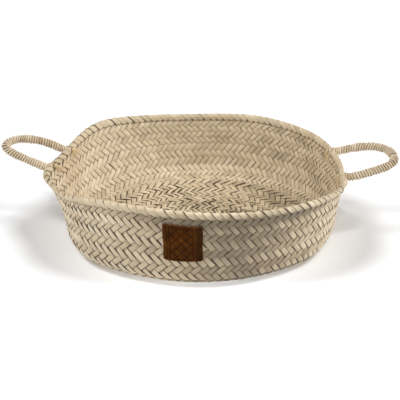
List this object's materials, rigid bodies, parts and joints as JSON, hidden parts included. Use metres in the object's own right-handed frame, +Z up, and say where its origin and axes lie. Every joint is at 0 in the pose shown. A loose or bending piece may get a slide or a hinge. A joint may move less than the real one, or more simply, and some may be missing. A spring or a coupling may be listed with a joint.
{
  "type": "bread basket",
  "caption": "Round shallow straw bread basket of coiled palm-leaf plait with a rolled rim, wrapped rope handles and a plain leather label.",
  "frame": {"origin": "centre of the flat underside of the base, on the surface that the basket stands on", "axes": "+Z up out of the mouth, +X towards the right handle, -Y towards the face with the leather label"},
  "size_m": [0.4772, 0.3416, 0.0977],
  "materials": {
    "plait": "matte plaited palm leaf",
    "palm_cord": "matte twisted palm cord",
    "handle_rope": "matte palm rope",
    "leather": "waxed brown leather",
    "thread": "dark waxed thread"
  },
  "bodies": {
    "basket": {"wall_course_upper": "plait", "wall_course_lower": "plait", "base_course_outer": "plait", "base_course_inner": "plait", "base_centre_coil": "plait", "seam_cord_wall": "palm_cord", "seam_cord_foot": "palm_cord", "seam_cord_base_outer": "palm_cord", "seam_cord_base_inner": "palm_cord", "handle_left_root_back": "handle_rope", "handle_left_root_front": "handle_rope", "handle_right_root_back": "handle_rope", "handle_right_root_front": "handle_rope", "leather_label": "leather", "label_stitch_top_left": "thread", "label_stitch_top_right": "thread", "label_stitch_low_left": "thread", "label_stitch_low_right": "thread"},
    "handle_left": {"handle_left_core": "handle_rope", "handle_left_whipping": "palm_cord"},
    "handle_right": {"handle_right_core": "handle_rope", "handle_right_whipping": "palm_cord"}
  },
  "joints": [
    {"name": "handle_left_swing", "type": "hinge", "parent": "basket", "child": "handle_left", "pos_m": [-0.17698, 0.0433, 0.07462], "axis": [0.4094, 0.8799, 0.2414], "range_deg": [-60, 50]},
    {"name": "handle_right_swing", "type": "hinge", "parent": "basket", "child": "handle_right", "pos_m": [0.17234, 0.02413, 0.0729], "axis": [0.1281, -0.9845, -0.1194], "range_deg": [-60, 60]}
  ]
}
